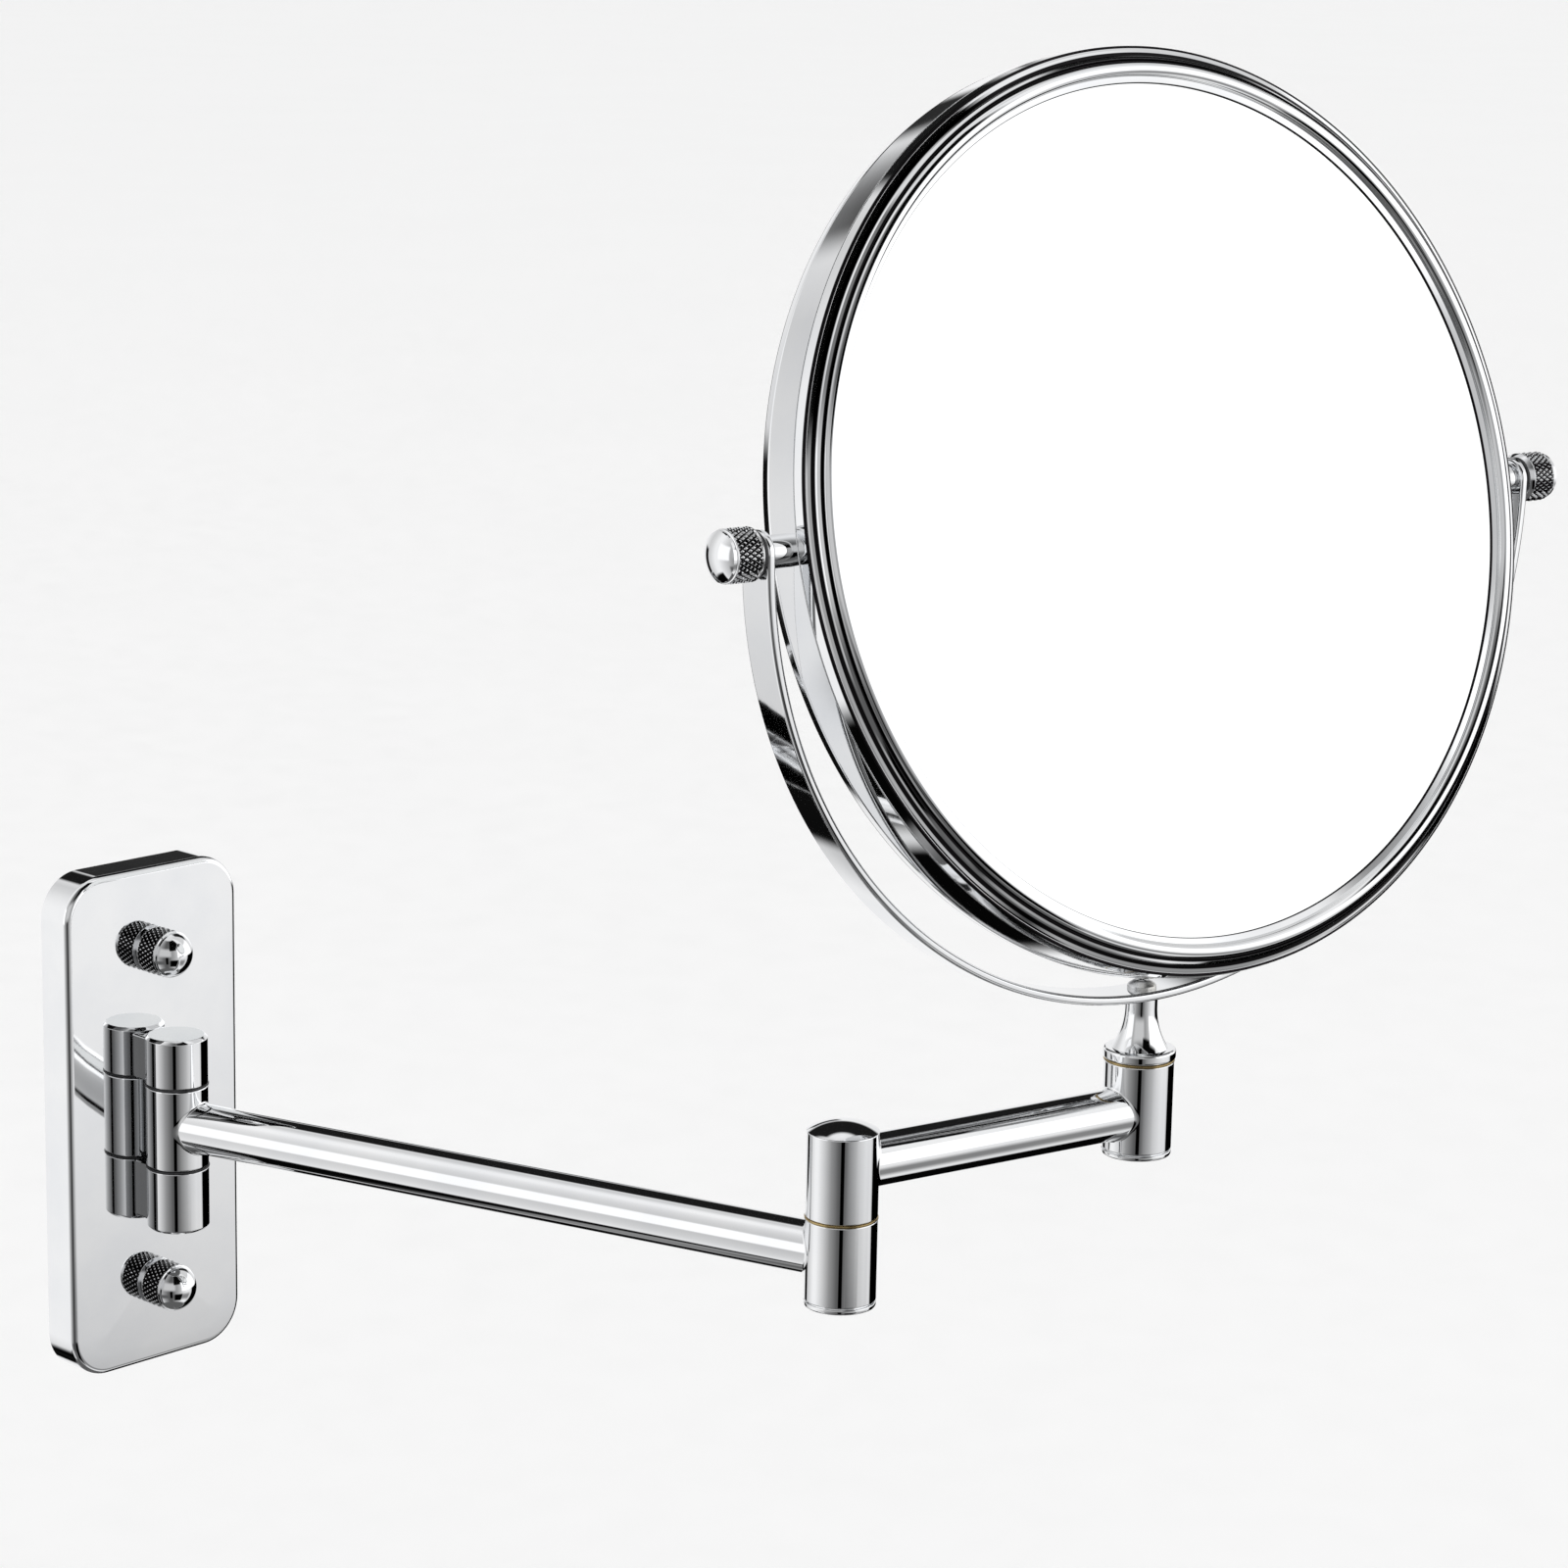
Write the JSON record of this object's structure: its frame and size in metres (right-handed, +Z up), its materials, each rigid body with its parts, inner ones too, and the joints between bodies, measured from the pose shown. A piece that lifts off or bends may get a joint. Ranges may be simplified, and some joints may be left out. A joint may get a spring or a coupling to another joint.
{
  "type": "extendable shaving mirror",
  "caption": "Wall-mounted round two-sided mirror in a half-ring yoke on a two-piece swinging arm, chromed, with a rectangular wall cover.",
  "frame": {"origin": "middle of the wall cover's back, on the wall", "axes": "+Z up, +Y into the wall, the mirror stands out towards -Y"},
  "size_m": [0.2851, 0.2587, 0.3364],
  "materials": {
    "polished_chrome": "mirror-polished bright chrome plate",
    "zinc_steel": "zinc-plated steel, satin",
    "brass": "plain turned brass",
    "dark_nylon": "dark nylon washer",
    "mirror_glass": "silvered mirror glass",
    "foam": "closed-cell foam pad",
    "plastic": "moulded plastic"
  },
  "bodies": {
    "wall_plate": {"wall_bracket": "zinc_steel", "cover_studs": "zinc_steel", "wall_cover": "polished_chrome", "upper_cap_nut": "polished_chrome", "lower_cap_nut": "polished_chrome", "backing_plate": "zinc_steel", "upper_hinge_lug": "polished_chrome", "lower_hinge_lug": "polished_chrome", "lug_screws": "zinc_steel", "hinge_pin": "zinc_steel", "hinge_washers": "dark_nylon"},
    "arm_1": {"arm_1_knuckle": "polished_chrome", "arm_1_tube": "polished_chrome", "elbow_lower_barrel": "polished_chrome", "elbow_bottom_cap": "polished_chrome", "elbow_washer": "brass"},
    "arm_2": {"elbow_upper_barrel": "polished_chrome", "elbow_top_cap": "polished_chrome", "elbow_bolt": "zinc_steel", "elbow_spring_washers": "zinc_steel", "elbow_lock_nut": "zinc_steel", "arm_2_tube": "polished_chrome", "end_barrel": "polished_chrome", "end_bottom_cap": "polished_chrome", "swivel_washer": "brass"},
    "yoke": {"swivel_stem": "polished_chrome", "swivel_spring_washers": "zinc_steel", "swivel_lock_nut": "zinc_steel", "yoke_ring": "polished_chrome", "yoke_screw": "zinc_steel", "left_pivot_washer": "dark_nylon", "right_pivot_washer": "dark_nylon"},
    "mirror_head": {"rim_band": "polished_chrome", "front_bezel": "polished_chrome", "rear_bezel": "polished_chrome", "front_glass": "mirror_glass", "rear_glass": "mirror_glass", "front_pad": "foam", "rear_pad": "foam", "core_disc": "plastic", "left_pivot_stud": "zinc_steel", "right_pivot_stud": "zinc_steel", "pivot_nuts": "zinc_steel", "left_spacer": "polished_chrome", "right_spacer": "polished_chrome"},
    "left_thumb_nut": {"left_thumb_nut": "polished_chrome"},
    "right_thumb_nut": {"right_thumb_nut": "polished_chrome"}
  },
  "joints": [
    {"name": "wall_hinge", "type": "hinge", "parent": "wall_plate", "child": "arm_1", "pos_m": [0, -0.0192, 0], "axis": [0, 0, 1], "range_deg": [-105, 75]},
    {"name": "elbow", "type": "hinge", "parent": "arm_1", "child": "arm_2", "pos_m": [0.04866, -0.20079, 0.0209], "axis": [0, 0, 1], "continuous": true},
    {"name": "swivel", "type": "hinge", "parent": "arm_2", "child": "yoke", "pos_m": [0.13297, -0.21872, 0.034], "axis": [0, 0, 1], "continuous": true},
    {"name": "tilt", "type": "hinge", "parent": "yoke", "child": "mirror_head", "pos_m": [0.13297, -0.21872, 0.1652], "axis": [0.9848, -0.1736, 0], "continuous": true},
    {"name": "left_nut_turn", "type": "hinge", "parent": "mirror_head", "child": "left_thumb_nut", "pos_m": [0.01066, -0.19715, 0.1652], "axis": [-0.9848, 0.1736, 0], "range_deg": [-30, 360]},
    {"name": "right_nut_turn", "type": "hinge", "parent": "mirror_head", "child": "right_thumb_nut", "pos_m": [0.25529, -0.24028, 0.1652], "axis": [0.9848, -0.1736, 0], "range_deg": [-30, 360]}
  ]
}
